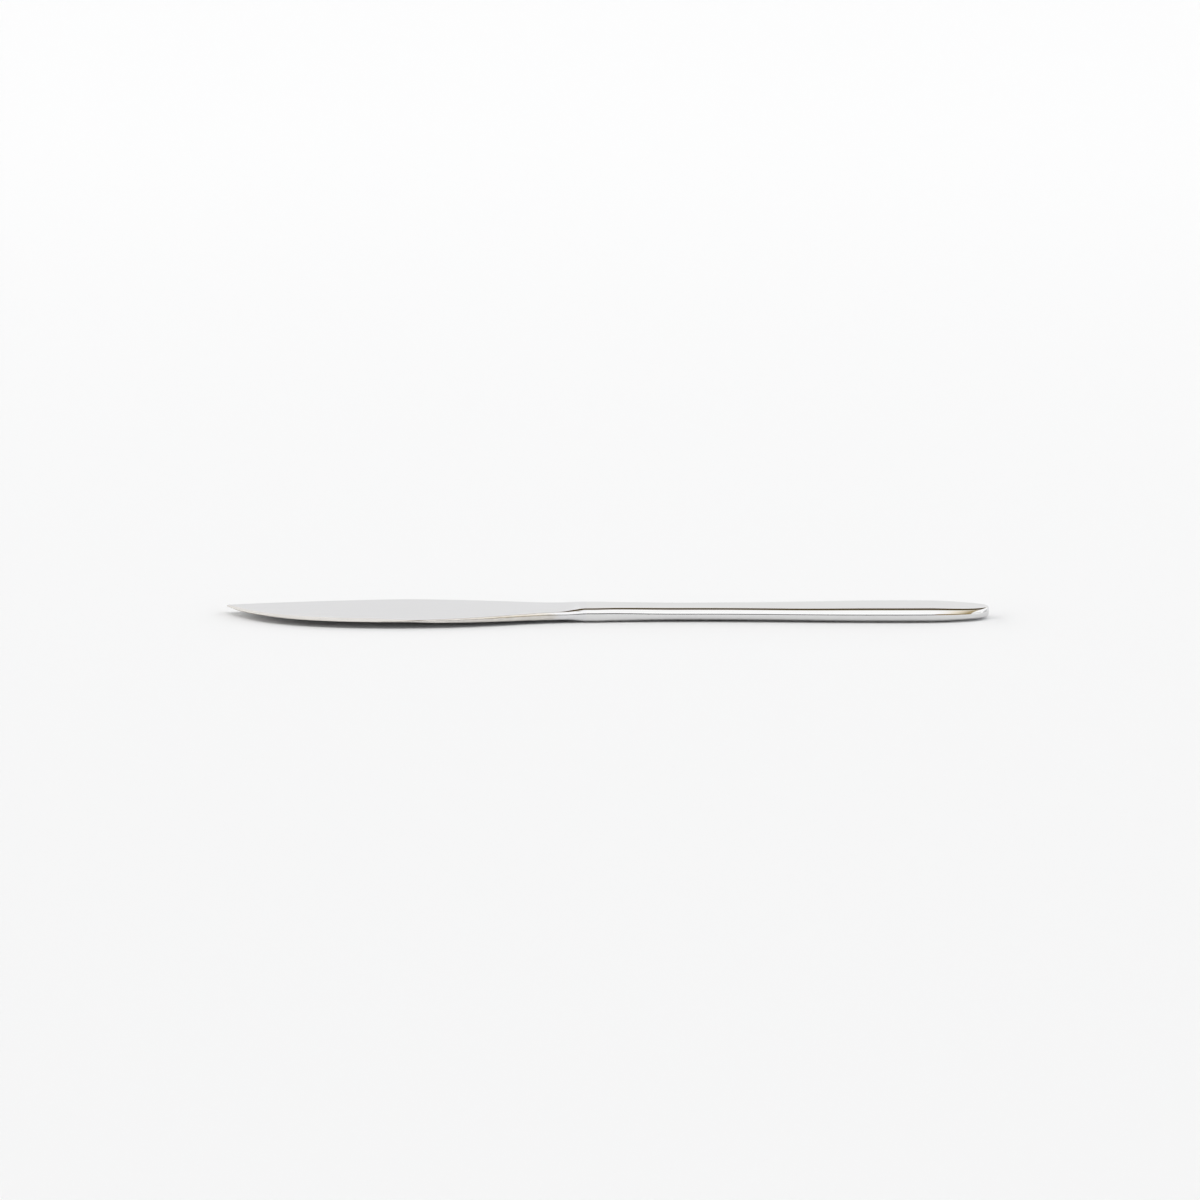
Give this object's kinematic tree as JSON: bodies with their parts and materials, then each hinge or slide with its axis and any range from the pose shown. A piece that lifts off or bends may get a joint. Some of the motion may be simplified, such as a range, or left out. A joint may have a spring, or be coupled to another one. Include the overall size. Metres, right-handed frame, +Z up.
{
  "type": "table knife",
  "caption": "Slim polished stainless table knife with a broad leaf-shaped blade, a smooth shoulder and a waisted hollow handle with round sides.",
  "frame": {"origin": "middle of the knife's box, on the table it lies on", "axes": "+X from the tip of the blade to the butt of the handle, +Y from the cutting edge to the spine, +Z up from the table"},
  "size_m": [0.23, 0.0218, 0.0044],
  "materials": {
    "blade_steel": "finely brushed and polished, with a satin grind at the heel",
    "handle_steel": "mirror polished with fine handling scratches",
    "seam_filler": "ground and polished flush with the shells",
    "neck_filler": "ground and polished flush with the shoulder",
    "bedding_cement": "matt, cast in place"
  },
  "bodies": {
    "root": {"blade": "blade_steel", "upper_shell": "handle_steel", "lower_shell": "handle_steel", "seam_braze": "seam_filler", "neck_solder": "neck_filler", "tang_bedding": "bedding_cement"}
  },
  "joints": []
}
